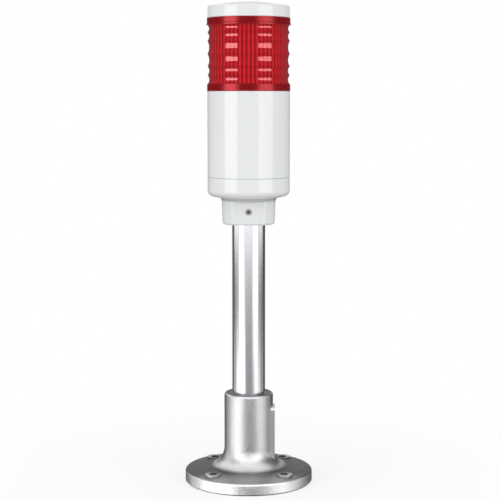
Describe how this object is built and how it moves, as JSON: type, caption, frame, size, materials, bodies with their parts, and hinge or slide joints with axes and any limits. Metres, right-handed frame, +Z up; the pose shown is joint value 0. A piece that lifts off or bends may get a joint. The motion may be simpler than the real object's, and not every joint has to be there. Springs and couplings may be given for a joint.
{
  "type": "stack light",
  "caption": "One-tier signal light on a pole: a ribbed red lens under a white cap on a round white body, held by a flat-sided collar on a bright tube in a round cast foot.",
  "frame": {"origin": "bottom centre of the foot's flange, where it meets the machine", "axes": "+Z up the pole, -Y towards the head's front set screw, +X to the right of someone who faces that screw"},
  "size_m": [0.0874, 0.0874, 0.3273],
  "materials": {
    "white_plastic": "smooth moulded gloss",
    "red_lens": "clear tinted gloss",
    "polished_steel": "polished",
    "dark_steel": "blackened",
    "cast_aluminium": "fine blasted casting, worn smooth on edges",
    "black_rubber": "matte",
    "green_laminate": "satin",
    "white_laminate": "satin",
    "green_plastic": "satin",
    "black_sleeve": "gloss",
    "black_plastic": "matte",
    "cream_plastic": "satin",
    "lamp_resin": "gloss",
    "brass": "turned"
  },
  "bodies": {
    "root": {"pole_foot": "cast_aluminium", "foot_set_screw": "dark_steel", "pole": "polished_steel", "lower_cover": "white_plastic", "collar_set_screws": "dark_steel", "pole_bush": "black_rubber", "body_seal": "black_rubber", "body_housing": "white_plastic", "control_board": "green_laminate", "terminal_block": "green_plastic", "terminal_screws": "polished_steel", "capacitors": "black_sleeve", "driver_chips": "black_plastic", "board_socket": "cream_plastic", "led_base_board": "white_laminate", "base_board_screws": "polished_steel", "led_board_front": "white_laminate", "led_board_back": "white_laminate", "led_board_left": "white_laminate", "led_board_right": "white_laminate", "leds": "lamp_resin", "led_tower_top": "cream_plastic", "tie_screws": "polished_steel", "tie_washers": "polished_steel", "lens_seal": "black_rubber", "lens": "red_lens", "cap_seal": "black_rubber", "top_cap": "white_plastic", "cap_inserts": "brass"}
  },
  "joints": []
}
